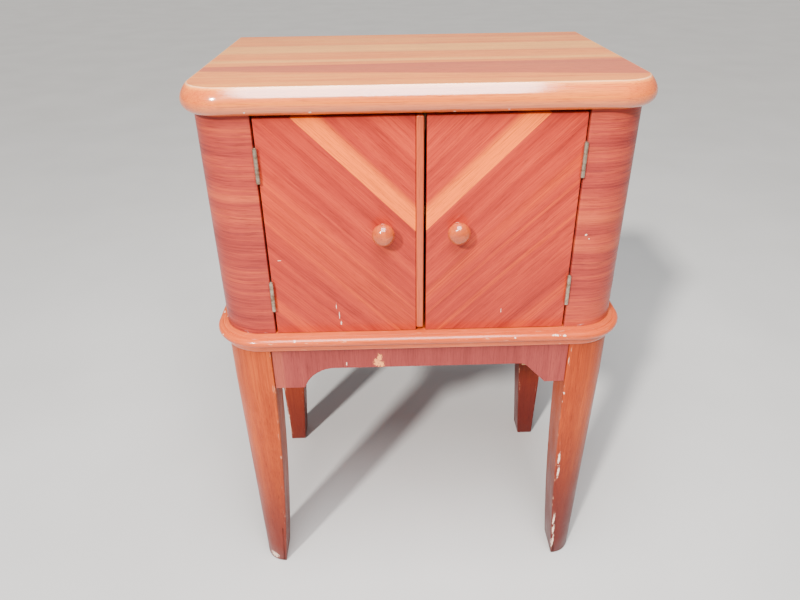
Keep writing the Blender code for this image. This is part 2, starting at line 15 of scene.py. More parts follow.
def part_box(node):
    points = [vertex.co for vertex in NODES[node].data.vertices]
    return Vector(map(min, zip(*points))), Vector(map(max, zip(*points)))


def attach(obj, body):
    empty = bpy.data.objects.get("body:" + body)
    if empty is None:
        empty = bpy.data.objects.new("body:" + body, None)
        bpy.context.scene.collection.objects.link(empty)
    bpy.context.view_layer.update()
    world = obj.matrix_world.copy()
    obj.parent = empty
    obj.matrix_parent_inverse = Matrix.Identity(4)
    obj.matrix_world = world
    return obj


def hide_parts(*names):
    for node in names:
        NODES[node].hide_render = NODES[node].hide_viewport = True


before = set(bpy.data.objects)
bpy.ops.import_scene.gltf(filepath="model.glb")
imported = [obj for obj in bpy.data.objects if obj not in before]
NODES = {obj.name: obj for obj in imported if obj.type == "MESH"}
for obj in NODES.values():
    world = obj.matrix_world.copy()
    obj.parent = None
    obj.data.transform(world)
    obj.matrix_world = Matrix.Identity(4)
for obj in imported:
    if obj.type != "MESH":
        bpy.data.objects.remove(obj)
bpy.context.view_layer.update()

SIDES = {"left": -1, "right": 1}
QUARTER = math.pi / 2

# Camera: in front of the cabinet, a little above its top and left of its middle
CAMERA_PLACE = Vector((-0.0370, -0.8456, 0.8705))
CAMERA_YAW = math.radians(1.03)
CAMERA_PITCH = math.radians(29.68)
CAMERA_ROLL = math.radians(-0.84)
CAMERA_LENS = 29.53
SENSOR_WIDTH = 36.0

# Stage: a low sun from the front left, a soft box over the front and a pale sky
KEY_AZIMUTH = math.radians(31)
KEY_ELEVATION = math.radians(34)
KEY_STRENGTH = 5.7
KEY_WIDTH = math.radians(4.5)
KEY_COLOUR = (1.0, 0.96, 0.91)
SOFT_BOX_PLACE = (-0.03, -0.78, 1.95)
SOFT_BOX_TARGET = (-0.03, -0.30, 0.72)
SOFT_BOX_SIZE = (0.95, 1.35)
SOFT_BOX_POWER = 88.0
SKY_COLOUR = (0.80, 0.81, 0.84, 1.0)
SKY_STRENGTH = 0.35
FLOOR_SIZE = 24.0
FLOOR_DROP = 0.0002
FLOOR_DARK, FLOOR_LIGHT = (0.53, 0.525, 0.515), (0.57, 0.565, 0.555)

# Shapes that the frame's boxes do not give
SMOOTH_UP_TO = math.radians(38)
CORNER_STEPS = 32
TOP_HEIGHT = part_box("top_slab")[1].z
SLAB_CORNER_RADIUS = 0.050
SLAB_ARRIS_INSET = 0.009
SLAB_WIDEST_BELOW_TOP = 0.0175
SLAB_UNDER_RADIUS = 0.0115
NOSE_SWELL = 0.0085
NOSE_STEPS = 16
NOSE_END = 0.985
CASE_CORNER_RADIUS = 0.050
PANEL_THICKNESS = 0.012
PANEL_LEVELS = (0.0, 0.003, 0.012, 0.25, 0.5, 0.75, 0.97, 1.0)
BASE_SIDE_OVERHANG = 0.012
BASE_RIM = 0.030
BEAD_RADIUS = 0.0057
BEAD_QUIRK = 0.0012
BEAD_STEPS = 20
FILLET_INSET = 0.0075
DOOR_ROUNDING = 0.0008
DOOR_DROP = 0.0014
STRIP_ROUNDING = 0.0019
KNOB_BALL_STEPS = 32
KNOB_BALL_TURN = math.radians(142)
KNOB_FRONT_FULLNESS = 0.94
LEG_TAPER_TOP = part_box("apron_left")[0].z
LEG_TAPER_STEPS = 9
FRONT_LEG_TOP_RADIUS = 0.048
FRONT_LEG_FOOT_RADIUS = 0.030
FRONT_LEG_SWELL = 0.0036
LEG_CORNER_STEPS = 16
ARRIS_RADIUS = 0.0014
ARRIS_STEPS = 4
ARRIS_WEAR = (0.0, 0.6, 1.0, 1.0, 1.0, 0.6, 0.0)
WEAR_REACH = 0.0035
APRON_ROUNDING = 0.0005

# Woods, each as its dark, middle and light tone
DOOR_TONES = (0.22, 0.015, 0.010), (0.38, 0.031, 0.016), (0.60, 0.066, 0.022)
CASE_TONES = (0.15, 0.014, 0.016), (0.34, 0.040, 0.027), (0.60, 0.096, 0.030)
TOP_TONES = (0.60, 0.105, 0.018), (0.88, 0.240, 0.034), (1.00, 0.390, 0.060)
LEG_TONES = (0.22, 0.024, 0.006), (0.38, 0.052, 0.009), (0.58, 0.105, 0.014)
MOULDING_TONES = (0.40, 0.050, 0.010), (0.55, 0.082, 0.015), (0.70, 0.125, 0.024)
STRIP_TONES = (0.34, 0.044, 0.012), (0.45, 0.066, 0.018), (0.57, 0.092, 0.026)
KNOB_TONES = (0.30, 0.040, 0.010), (0.43, 0.068, 0.014), (0.58, 0.105, 0.022)
APRON_TONES = (0.20, 0.030, 0.026), (0.26, 0.042, 0.036), (0.33, 0.060, 0.046)
CARCASS_TONES = (0.34, 0.17, 0.075), (0.44, 0.24, 0.11), (0.54, 0.32, 0.16)
TONE_STOPS = (0.34, 0.50, 0.68)
PORE_TINT = (0.42, 0.32, 0.34)
WOOD_SPECULAR = 0.10
ROUGHNESS_SWING = 0.07
GRAIN_DRIFT = 0.020
GROOVE_DEPTH = 0.00006
RIPPLE_HEIGHT = 0.00035

# Wood under rubbed and chipped varnish; the bare wood tone also paints the highlight streaks on the right
# front leg's arris
RUBBED_WOOD = (0.62, 0.36, 0.19)
BARE_WOOD_AND_HIGHLIGHT = (0.86, 0.62, 0.48)
APRON_BARE_WOOD = (0.90, 0.330, 0.100)

# Lines of lighter wood across the door veneer, as (place across the grain, half width, strength)
SAPWOOD = (0.97, 0.165, 0.006)
SAPWOOD_PLACE = 0.4085
SAPWOOD_HALF = 0.0100
STREAK = (0.70, 0.082, 0.010)
DOOR_STREAKS = {
    "left": (
        (0.3110, 0.0200, 0.30), (0.2920, 0.0020, 0.55), (0.2130, 0.0060, 0.45), (0.3250, 0.0015, 0.35),
    ),
    "right": (
        (0.3370, 0.0060, 0.50), (0.2910, 0.0022, 0.60), (0.3180, 0.0016, 0.45), (0.2300, 0.0060, 0.40),
    ),
}

# The top's boards: where the pale ones lie, and the edges of the brown one as (slope, place at the middle)
PALE_BOARD = (0.99, 0.480, 0.105)
BROWN_BOARD = (0.50, 0.080, 0.034)
WIDE_PALE_BOARD = {"centre": 0.066, "half_width": 0.030, "low_soft": 0.006, "high_soft": 0.0015}
NARROW_PALE_BOARD = {"centre": -0.022, "half_width": 0.008, "low_soft": 0.004, "high_soft": 0.003}
BROWN_BOARD_BACK = (0.022, -0.0445)
BROWN_BOARD_FRONT = (-0.106, -0.105)
# The top's rounded edge and underside are darkened as painted shade
NOSE_PAINTED_SHADE = (0.72, 0.46, 0.26)
TOP_ARRIS = (1.0, 0.66, 0.36)

# Chips in the varnish, each as its place and its reach along X, Y and Z
DOOR_CHIPS = {
    "left": (
        ((-0.1015, -0.160, 0.473), (0.0004, 0.002, 0.0042)),
        ((-0.0985, -0.160, 0.461), (0.0004, 0.002, 0.0050)),
        ((-0.0968, -0.160, 0.4495), (0.0008, 0.002, 0.0024)),
        ((-0.1634, -0.160, 0.536), (0.0024, 0.002, 0.0004)),
    ),
    "right": (((0.0980, -0.160, 0.462), (0.0003, 0.002, 0.0024)),),
}
CASE_CHIPS = (
    ((0.1897, -0.160, 0.560), (0.0016, 0.002, 0.0010)),
    ((0.1938, -0.160, 0.555), (0.0010, 0.002, 0.0008)),
)
APRON_PATCHES = (
    ((-0.0515, -0.162, 0.3985), (0.0032, 0.003, 0.0050)),
    ((-0.0545, -0.162, 0.3905), (0.0045, 0.003, 0.0060)),
    ((-0.0490, -0.162, 0.3870), (0.0030, 0.003, 0.0050)),
)
APRON_CHIPS = (((-0.0935, -0.162, 0.3890), (0.0007, 0.003, 0.0030)),)
# The streaks on the right front leg's inner arris are partly chipped varnish and partly a painted highlight
# on that rounded edge
LEG_CHIPS_AND_HIGHLIGHTS = (
    ((0.1970, -0.156, 0.214), (0.0016, 0.003, 0.0110)),
    ((0.1990, -0.154, 0.187), (0.0014, 0.003, 0.0120)),
    ((0.2050, -0.148, 0.082), (0.0014, 0.004, 0.0130)),
    ((0.2070, -0.146, 0.058), (0.0018, 0.004, 0.0100)),
    ((0.2090, -0.144, 0.030), (0.0016, 0.004, 0.0140)),
    ((0.2055, -0.143, 0.026), (0.0022, 0.003, 0.0060)),
    ((0.1885, -0.164, 0.336), (0.0014, 0.003, 0.0020)),
    ((-0.2290, -0.138, 0.010), (0.0080, 0.006, 0.0060)),
    ((-0.2350, 0.143, 0.050), (0.0012, 0.003, 0.0450)),
)
MOULDING_CHIPS = (
    ((-0.1540, -0.1750, 0.4335), (0.0016, 0.003, 0.0010)),
    ((0.1150, -0.1760, 0.4320), (0.0012, 0.003, 0.0009)),
    ((0.1650, -0.1755, 0.4335), (0.0042, 0.003, 0.0010)),
    ((0.1760, -0.1755, 0.4330), (0.0026, 0.003, 0.0009)),
    ((-0.2530, -0.1020, 0.4350), (0.0012, 0.003, 0.0020)),
    ((-0.2450, -0.1150, 0.4368), (0.0020, 0.003, 0.0012)),
    ((-0.2440, -0.1500, 0.4310), (0.0020, 0.002, 0.0012)),
)
SLAB_CHIPS = (
    ((-0.1800, -0.1680, 0.7080), (0.0016, 0.004, 0.0012)),
    ((-0.1140, -0.1680, 0.7075), (0.0022, 0.004, 0.0011)),
    ((0.0340, -0.1680, 0.7045), (0.0016, 0.004, 0.0012)),
    ((0.0900, -0.1680, 0.7065), (0.0012, 0.004, 0.0010)),
)

# Metals, as the clean metal and its tarnish
HINGE_METAL = (0.50, 0.41, 0.31), (0.26, 0.18, 0.12)
CATCH_BRASS = (0.70, 0.52, 0.27), (0.36, 0.24, 0.12)
SCREW_STEEL = (0.56, 0.55, 0.53), (0.30, 0.28, 0.26)


# ---------------------------------------------------------------- meshes


def wobble(point, size, scale):
    """A small smooth offset that is the same each run, as handwork leaves."""
    return size * noise.noise(Vector(point) / scale)


def arc(centre, radius, start, end, steps):
    for i in range(steps + 1):
        angle = start + (end - start) * i / steps
        yield centre[0] + radius * math.cos(angle), centre[1] + radius * math.sin(angle)


def make_mesh(name, vertices, faces, grain, wear=None):
    """A mesh with two attributes: grain, where the wood's fibre runs, and wear, where varnish is rubbed.

    grain(face, corner, point) gives (along, across, depth) in metres for one face corner.
    """
    mesh = bpy.data.meshes.new(name)
    mesh.from_pydata(vertices, [], faces)
    mesh.update()
    bm = bmesh.new()
    bm.from_mesh(mesh)
    bmesh.ops.recalc_face_normals(bm, faces=bm.faces)
    bm.to_mesh(mesh)
    bm.free()
    mesh.polygons.foreach_set("use_smooth", [True] * len(mesh.polygons))
    mesh.set_sharp_from_angle(angle=SMOOTH_UP_TO)
    attribute = mesh.attributes.new("grain", "FLOAT_VECTOR", "CORNER")
    for face in mesh.polygons:
        corners = list(face.vertices)
        for loop, vertex in zip(face.loop_indices, corners):
            attribute.data[loop].vector = grain(corners, vertex, mesh.vertices[vertex].co)
    rubbed = mesh.attributes.new("wear", "FLOAT", "POINT")
    if wear:
        rubbed.data.foreach_set("value", wear)
    return mesh


def add_piece(mesh, body, material, replaced):
    obj = bpy.data.objects.new(mesh.name, mesh)
    bpy.context.scene.collection.objects.link(obj)
    mesh.materials.append(material)
    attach(obj, body)
    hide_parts(replaced)


def along_x(corners, vertex, point):
    return point.x, point.y, point.z


def along_z(corners, vertex, point):
    return point.z, point.x, point.y


def loft(rings):
    """Vertices and faces of a skin through closed rings, with a flat face at each end."""
    count = len(rings[0])
    vertices = [point for ring in rings for point in ring]
    faces = [list(range(count))[::-1]]
    for level in range(len(rings) - 1):
        for i in range(count):
            j = (i + 1) % count
            low, high = level * count, (level + 1) * count
            faces.append((low + i, low + j, high + j, high + i))
    top = (len(rings) - 1) * count
    faces.append(list(range(top, top + count)))
    return vertices, faces


def divided(start, end, longest):
    """Points from start up to but not including end, no further apart than longest."""
    steps = max(1, math.ceil(math.dist(start, end) / longest))
    for i in range(steps):
        share = i / steps
        yield tuple(a + (b - a) * share for a, b in zip(start, end))


def board_outline(half_width, front, back, radius, inset=0.0):
    """Two rounded front corners and a square back, with the same number of points at every inset."""
    half_width, front, back = half_width - inset, front + inset, back - min(inset, 0.0)
    radius = max(radius - inset, 0.001)
    reach, depth = half_width - radius, front + radius
    left = list(arc((-reach, depth), radius, math.pi, 1.5 * math.pi, CORNER_STEPS))
    right = list(arc((reach, depth), radius, 1.5 * math.pi, 2 * math.pi, CORNER_STEPS))
    steps_side, steps_front, steps_back = 24, 36, 20
    points = [(half_width - 2 * half_width * i / steps_back, back) for i in range(steps_back)]
    points += [(-half_width, back + (left[0][1] - back) * i / steps_side) for i in range(steps_side)]
    points += left
    points += [
        (left[-1][0] + (right[0][0] - left[-1][0]) * i / steps_front, front) for i in range(1, steps_front)
    ]
    points += right
    start = right[-1][1]
    points += [(half_width, start + (back - start) * i / steps_side) for i in range(1, steps_side)]
    return points


def rounded_box(low, high, radius, steps=4):
    """Vertices and faces of a box with every edge rounded."""
    low, high = Vector(low), Vector(high)
    bm = bmesh.new()
    bmesh.ops.create_cube(bm, size=1.0)
    bmesh.ops.scale(bm, vec=high - low, verts=bm.verts)
    bmesh.ops.translate(bm, vec=(low + high) / 2, verts=bm.verts)
    bmesh.ops.bevel(
        bm, geom=list(bm.edges), offset=radius, segments=steps, profile=0.5, affect="EDGES",
        clamp_overlap=True,
    )
    vertices = [tuple(v.co) for v in bm.verts]
    faces = [[v.index for v in f.verts] for f in bm.faces]
    bm.free()
    return vertices, faces


def fillet_corner(before, corner, after, radius, steps):
    """The round that replaces one corner of a plan outline."""
    to_before = (Vector(before) - Vector(corner)).normalized()
    to_after = (Vector(after) - Vector(corner)).normalized()
    half_angle = to_before.angle(to_after) / 2
    centre = Vector(corner) + (to_before + to_after).normalized() * radius / math.sin(half_angle)
    first = Vector(corner) + to_before * radius / math.tan(half_angle)
    last = Vector(corner) + to_after * radius / math.tan(half_angle)
    for i in range(steps + 1):
        outward = (first - centre).slerp(last - centre, i / steps)
        yield tuple(centre + outward.normalized() * radius)


def leg_outline(section, side):
    """A leg's plan section and its wear: a big round outside in front, worn arrises elsewhere."""
    inner, outer, front, back, radius = section
    corners = [(inner, front), (outer, front), (outer, back), (inner, back)]
    points, wear = [], []
    for i, corner in enumerate(corners):
        before, after = corners[i - 1], corners[(i + 1) % 4]
        if i == 1 and radius > 2 * ARRIS_RADIUS:
            bend = list(fillet_corner(before, corner, after, radius, LEG_CORNER_STEPS))
            points += bend
            wear += [0.0] * len(bend)
            continue
        bend = list(fillet_corner(before, corner, after, ARRIS_RADIUS, ARRIS_STEPS))
        entry = Vector(bend[0]) + (Vector(before) - Vector(corner)).normalized() * WEAR_REACH
        leave = Vector(bend[-1]) + (Vector(after) - Vector(corner)).normalized() * WEAR_REACH
        points += [tuple(entry), *bend, tuple(leave)]
        wear += ARRIS_WEAR
    if side < 0:
        return [(-x, y) for x, y in reversed(points)], wear[::-1]
    return points, wear


def turned(profile, centre, sides=72):
    """A solid of revolution about -Y, its profile of (radius, distance forward)."""
    vertices, faces = [], []
    for radius, forward in profile:
        for i in range(sides):
            angle = 2 * math.pi * i / sides
            across, up = radius * math.cos(angle), radius * math.sin(angle)
            vertices.append((centre.x + across, centre.y - forward, centre.z + up))
    for level in range(len(profile) - 1):
        for i in range(sides):
            j = (i + 1) % sides
            low, high = level * sides, (level + 1) * sides
            faces.append((low + i, low + j, high + j, high + i))
    faces.append(list(range(sides))[::-1])
    faces.append(list(range((len(profile) - 1) * sides, len(profile) * sides)))
    return vertices, faces


# ---------------------------------------------------------------- materials


class Graph:
    """A short way to write a node tree."""

    def __init__(self, name):
        self.material = bpy.data.materials.new(name)
        self.material.use_nodes = True
        self.tree = self.material.node_tree
        self.shader = self.tree.nodes["Principled BSDF"]

    def set_input(self, socket, value):
        if isinstance(value, bpy.types.NodeSocket):
            self.tree.links.new(value, socket)
        elif isinstance(value, (tuple, list)) and len(value) == 3 and socket.type == "RGBA":
            socket.default_value = (*value, 1.0)
        else:
            socket.default_value = value

    def node(self, kind, inputs=(), **settings):
        made = self.tree.nodes.new(kind)
        for key, value in settings.items():
            setattr(made, key, value)
        for key, value in dict(inputs).items():
            self.set_input(made.inputs[key], value)
        return made

    def math(self, operation, a, b=0.0, clamp=False):
        made = self.node("ShaderNodeMath", {0: a, 1: b}, operation=operation, use_clamp=clamp)
        return made.outputs[0]

    def times(self, vector, factors):
        made = self.node("ShaderNodeVectorMath", {0: vector, 1: factors}, operation="MULTIPLY")
        return made.outputs[0]

    def plus(self, vector, other):
        made = self.node("ShaderNodeVectorMath", {0: vector, 1: other}, operation="ADD")
        return made.outputs[0]

    def split(self, vector):
        return self.node("ShaderNodeSeparateXYZ", {0: vector}).outputs

    def join(self, x, y, z):
        return self.node("ShaderNodeCombineXYZ", {0: x, 1: y, 2: z}).outputs[0]

    def noise(self, vector, factors, detail=2.0, roughness=0.5):
        scaled = self.times(vector, factors)
        inputs = {"Vector": scaled, "Scale": 1.0, "Detail": detail, "Roughness": roughness}
        return self.node("ShaderNodeTexNoise", inputs).outputs[0]

    def span(self, value, low, high, to_low=0.0, to_high=1.0):
        """A smooth step: to_low below low, to_high above high."""
        inputs = {"Value": value, "From Min": low, "From Max": high, "To Min": to_low, "To Max": to_high}
        return self.node("ShaderNodeMapRange", inputs, interpolation_type="SMOOTHSTEP").outputs[0]

    def total(self, *parts):
        """The sum of (value, share) pairs, each value times its share."""
        result = 0.0
        for value, share in parts:
            result = self.math("ADD", self.math("MULTIPLY", value, share), result)
        return result

    def mix(self, share, a, b, blend="MIX"):
        made = self.node("ShaderNodeMix", data_type="RGBA", blend_type=blend)
        # Sockets 6, 7 and 2 are the node's two colours and its colour result
        self.set_input(made.inputs["Factor"], share)
        self.set_input(made.inputs[6], a)
        self.set_input(made.inputs[7], b)
        return made.outputs[2]

    def ramp(self, value, stops):
        made = self.node("ShaderNodeValToRGB", {0: value})
        elements = made.color_ramp.elements
        while len(elements) < len(stops):
            elements.new(0.5)
        for element, (place, colour) in zip(elements, stops):
            element.position = place
            element.color = (*colour, 1.0)
        return made.outputs[0]

    def bump(self, height, distance):
        inputs = {"Height": height, "Distance": distance, "Strength": 1.0}
        return self.node("ShaderNodeBump", inputs).outputs[0]

    def place(self):
        """The point's own coordinates on its piece."""
        return self.node("ShaderNodeTexCoord").outputs["Object"]

    def wear(self):
        return self.node("ShaderNodeAttribute", attribute_name="wear").outputs["Fac"]


def grain_attribute(g):
    return g.node("ShaderNodeAttribute", attribute_name="grain").outputs["Vector"]


def grain_object(order):
    """Grain from a CAD node's own coordinates; order lists the axes for along, across and depth."""

    def source(g):
        place = g.split(g.place())
        return g.join(*(place["XYZ".index(axis)] for axis in order))

    return source


def wood_tone(g, grain, fibre, figure):
    """The figure from dark to light, 0 to 1, and the fine lines that are in it."""
    along, across = figure
    broad = g.noise(fibre, (along, across, across), 3.0, 0.55)
    fine = g.noise(fibre, (along * 3, across * 9, across * 9), 3.0, 0.6)
    hair = g.noise(fibre, (along * 11, across * 34, across * 34), 2.0, 0.6)
    cloud = g.noise(grain, (7.0, 16.0, 16.0), 2.0)
    return g.total((broad, 0.40), (fine, 0.26), (hair, 0.20), (cloud, 0.14)), fine


def wood(
    name, dark, middle, light, source=grain_attribute, figure=(2.2, 40.0), paint=None, worn=RUBBED_WOOD,
    roughness=0.42, gloss=0.7, coat_roughness=0.14, coat_ior=1.5,
):
    """Varnished wood: its figure, pores, rubbed edges and a slightly uneven coat.

    figure gives the figure's scale along and across the grain; paint adds what is on one piece only.
    """
    g = Graph(name)
    grain = source(g)
    drift = g.noise(grain, (1.6, 9.0, 9.0), 2.0)
    shift = g.math("MULTIPLY", g.math("SUBTRACT", drift, 0.5), GRAIN_DRIFT)
    fibre = g.plus(grain, g.join(0.0, shift, shift))
    tone, fine = wood_tone(g, grain, fibre, figure)
    colour = g.ramp(tone, list(zip(TONE_STOPS, (dark, middle, light))))
    if paint:
        colour = paint(g, grain, fibre, colour)
    pores = g.span(g.noise(fibre, (90.0, 2600.0, 2600.0), 1.0), 0.58, 0.70)
    vessels = g.span(g.noise(fibre, (30.0, 1150.0, 1150.0), 2.0), 0.54, 0.66)
    colour = g.mix(g.total((pores, 0.35), (vessels, 0.38)), colour, PORE_TINT, "MULTIPLY")
    ragged = g.noise(grain, (55.0, 320.0, 320.0), 3.0, 0.65)
    bare = g.math("MULTIPLY", g.wear(), g.span(ragged, 0.60, 0.70), clamp=True)
    colour = g.mix(g.math("MULTIPLY", bare, 0.75), colour, worn)
    patchy = g.noise(grain, (18.0, 60.0, 60.0), 3.0)
    rough = g.span(patchy, 0.3, 0.7, roughness - ROUGHNESS_SWING, roughness + ROUGHNESS_SWING)
    grooves = g.math("SUBTRACT", g.math("MULTIPLY", fine, 0.3), pores)
    waves = g.noise(grain, (14.0, 26.0, 26.0), 2.0)
    ripple = g.math("ADD", waves, g.math("MULTIPLY", fine, 0.05))
    shader = g.shader.inputs
    g.set_input(shader["Base Color"], colour)
    g.set_input(shader["Roughness"], g.math("ADD", rough, g.math("MULTIPLY", bare, 0.25), clamp=True))
    g.set_input(shader["Normal"], g.bump(grooves, GROOVE_DEPTH))
    g.set_input(shader["Coat Normal"], g.bump(ripple, RIPPLE_HEIGHT))
    shader["Specular IOR Level"].default_value = WOOD_SPECULAR
    shader["Coat Weight"].default_value = gloss
    shader["Coat Roughness"].default_value = coat_roughness
    shader["Coat IOR"].default_value = coat_ior
    return g.material


def band(g, value, centre, half_width, low_soft, high_soft):
    """1 inside a band of the value, with its own softness on each side."""
    rise = g.span(value, centre - half_width - low_soft, centre - half_width + low_soft)
    fall = g.span(value, centre + half_width - high_soft, centre + half_width + high_soft, 1.0, 0.0)
    return g.math("MULTIPLY", rise, fall)


def chips_and_highlights(g, colour, spots, tone=BARE_WOOD_AND_HIGHLIGHT):
    """Ragged blobs of bare wood; along the right front leg's arris they are partly a painted highlight."""
    place = g.place()
    ragged = g.noise(place, (520.0, 520.0, 520.0), 3.0, 0.7)
    fray = g.math("MULTIPLY", g.math("SUBTRACT", ragged, 0.5), 3.2)
    for centre, reach in spots:
        offset = g.times(g.plus(place, tuple(-c for c in centre)), tuple(1 / r for r in reach))
        distance = g.node("ShaderNodeVectorMath", {0: offset}, operation="LENGTH").outputs["Value"]
        mask = g.span(g.math("ADD", distance, fray), 0.8, 1.0, 1.0, 0.0)
        colour = g.mix(mask, colour, tone)
    return colour


def door_paint(side_name):
    """A chevron's sapwood band, sharp below and soft above, and fainter streaks beside it."""

    def paint(g, grain, fibre, colour):
        across = g.split(fibre)[1]
        straight = g.split(grain)[1]
        fray = g.noise(fibre, (5.0, 700.0, 700.0), 3.0, 0.6)
        for place, half, strength in DOOR_STREAKS[side_name]:
            mask = band(g, across, place, half, half * 0.8, half * 0.9)
            mask = g.math("MULTIPLY", mask, g.span(fray, 0.35, 0.6, 0.25, 1.0))
            colour = g.mix(g.math("MULTIPLY", mask, strength), colour, STREAK)
        sap = band(g, straight, SAPWOOD_PLACE, SAPWOOD_HALF, 0.0003, 0.0060)
        sap = g.math("MULTIPLY", sap, g.span(fray, 0.30, 0.50, 0.62, 1.0))
        colour = g.mix(g.math("MULTIPLY", sap, 0.92), colour, SAPWOOD)
        return chips_and_highlights(g, colour, DOOR_CHIPS[side_name])

    return paint


def line_across(g, x, edge):
    slope, middle = edge
    return g.math("ADD", g.math("MULTIPLY", x, slope), middle)


def top_paint(g, grain, fibre, colour):
    """The top's boards, its rounded edge and underside darkened as painted shade, and the rubbed line above
    that.
    """
    x, y, z = g.split(grain)
    waver = g.math("SUBTRACT", g.noise(grain, (6.0, 30.0, 30.0), 3.0), 0.5)
    y = g.math("ADD", y, g.math("MULTIPLY", waver, 0.010))
    pale = g.math("MAXIMUM", band(g, y, **WIDE_PALE_BOARD), band(g, y, **NARROW_PALE_BOARD))
    colour = g.mix(g.math("MULTIPLY", pale, 0.45), colour, PALE_BOARD)
    before_back = g.span(g.math("SUBTRACT", line_across(g, x, BROWN_BOARD_BACK), y), -0.0015, 0.0015)
    behind_front = g.span(g.math("SUBTRACT", y, line_across(g, x, BROWN_BOARD_FRONT)), -0.004, 0.004)
    brown = g.math("MULTIPLY", before_back, behind_front)
    colour = g.mix(g.math("MULTIPLY", brown, 0.80), colour, BROWN_BOARD)
    # Painted shade: the rounded edge below the arris and the underside are made darker and deeper than the
    # lit top
    nose = g.span(z, TOP_HEIGHT - 0.0040, TOP_HEIGHT - 0.0012, 0.85, 0.0)
    colour = g.mix(nose, colour, NOSE_PAINTED_SHADE, "MULTIPLY")
    colour = g.mix(g.math("MULTIPLY", g.wear(), 0.45), colour, TOP_ARRIS)
    return chips_and_highlights(g, colour, SLAB_CHIPS)


def case_paint(g, grain, fibre, colour):
    """Dark flecks and warmer stretches along the bent veneer."""
    flecks = g.noise(fibre, (9.0, 210.0, 210.0), 4.0, 0.65)
    colour = g.mix(g.span(flecks, 0.56, 0.70, 0.0, 0.55), colour, (0.13, 0.016, 0.022))
    glow = g.noise(fibre, (3.0, 38.0, 38.0), 2.0)
    colour = g.mix(g.span(glow, 0.55, 0.70, 0.0, 0.50), colour, (0.62, 0.110, 0.036))
    return chips_and_highlights(g, colour, CASE_CHIPS)


def apron_paint(g, grain, fibre, colour):
    """The apron's left end has lost its colour, and its lower edge is chipped."""
    across = g.split(grain)[1]
    faded = g.span(across, -0.175, -0.172, 0.55, 0.0)
    colour = g.mix(faded, colour, (0.40, 0.085, 0.050))
    colour = chips_and_highlights(g, colour, APRON_PATCHES, APRON_BARE_WOOD)
    return chips_and_highlights(g, colour, APRON_CHIPS)


def leg_paint(g, grain, fibre, colour):
    """The legs turn redder and darker towards the feet, painted shade for the light falling off near the
    floor; the right ones are darker still, and the right front leg's arris gets pale streaks that are
    partly chips and partly painted highlight.
    """
    height, across, _ = g.split(grain)
    # Painted shade: darker towards the feet, where less light falls near the floor
    low = g.span(height, 0.03, 0.30, 0.85, 0.0)
    colour = g.mix(low, colour, (0.115, 0.014, 0.011))
    right = g.math("MULTIPLY", g.span(across, 0.0, 0.1), g.span(height, 0.05, 0.36, 0.65, 0.0))
    colour = g.mix(right, colour, (0.085, 0.010, 0.009))
    # Painted highlight: the pale streaks down the right front leg's arris are partly real chips and partly
    # painted highlight
    return chips_and_highlights(g, colour, LEG_CHIPS_AND_HIGHLIGHTS)


def moulding_paint(g, grain, fibre, colour):
    return chips_and_highlights(g, colour, MOULDING_CHIPS)


def metal(name, clean, tarnish, roughness=0.38):
    g = Graph(name)
    place = g.place()
    clouds = g.noise(place, (180.0, 180.0, 180.0), 4.0, 0.6)
    scratches = g.noise(place, (2400.0, 2400.0, 260.0), 2.0)
    g.set_input(g.shader.inputs["Base Color"], g.mix(g.span(clouds, 0.42, 0.66), clean, tarnish))
    g.shader.inputs["Metallic"].default_value = 1.0
    g.set_input(g.shader.inputs["Roughness"], g.span(clouds, 0.3, 0.7, roughness - 0.12, roughness + 0.16))
    g.set_input(g.shader.inputs["Normal"], g.bump(scratches, 0.00003))
    return g.material


def floor_material():
    g = Graph("pale_floor")
    speckle = g.noise(g.place(), (3.0, 3.0, 3.0), 3.0)
    g.set_input(g.shader.inputs["Base Color"], g.ramp(speckle, [(0.3, FLOOR_DARK), (0.7, FLOOR_LIGHT)]))
    g.shader.inputs["Roughness"].default_value = 0.75
    return g.material


# ---------------------------------------------------------------- pieces


def slab_profile(low, high):
    """The top's edge from below, as (inset, height, wear): a round underside, a flatter nose, an arris."""
    widest = high.z - SLAB_WIDEST_BELOW_TOP
    under = arc((SLAB_UNDER_RADIUS, widest), SLAB_UNDER_RADIUS, 1.5 * math.pi, math.pi, 8)
    profile = [(SLAB_UNDER_RADIUS + 0.012, low.z, 0.0)]
    profile += [(inset, z, 0.0) for inset, z in under]
    for i in range(1, NOSE_STEPS + 1):
        t = NOSE_END * i / NOSE_STEPS
        z = widest + 2 * t * (1 - t) * NOSE_SWELL + t * t * SLAB_WIDEST_BELOW_TOP
        profile.append((t * t * SLAB_ARRIS_INSET, z, 1.0 if i == NOSE_STEPS else 0.0))
    nose_inset, nose_z, _ = profile[-1]
    profile.append((nose_inset + 0.0002, (nose_z + high.z) / 2, 1.0))
    profile.append((nose_inset + 0.0008, high.z, 1.0))
    profile.append((nose_inset + 0.0018, high.z, 0.0))
    profile.append((SLAB_ARRIS_INSET + 0.016, high.z, 0.0))
    return profile


def make_top():
    low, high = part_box("top_slab")
    half_width = high.x
    rings, wear = [], []
    for inset, z, rubbed in slab_profile(low, high):
        ring = []
        for x, y in board_outline(half_width, low.y, high.y, SLAB_CORNER_RADIUS, inset):
            give = abs(wobble((x, y, 0.0), 0.00035, 0.03)) if rubbed else 0.0
            ring.append((x * (1 - give / half_width), min(y + give, high.y), z))
        rings.append(ring)
        wear += [rubbed] * len(ring)
    vertices, faces = loft(rings)
    material = wood(
        "top_varnished", *TOP_TONES, figure=(1.4, 66.0), paint=top_paint, worn=(0.95, 0.62, 0.34),
        gloss=1.0, coat_roughness=0.12, coat_ior=1.9,
    )
    mesh = make_mesh("table_top", vertices, faces, along_x, wear)
    add_piece(mesh, "cabinet", material, "top_slab")


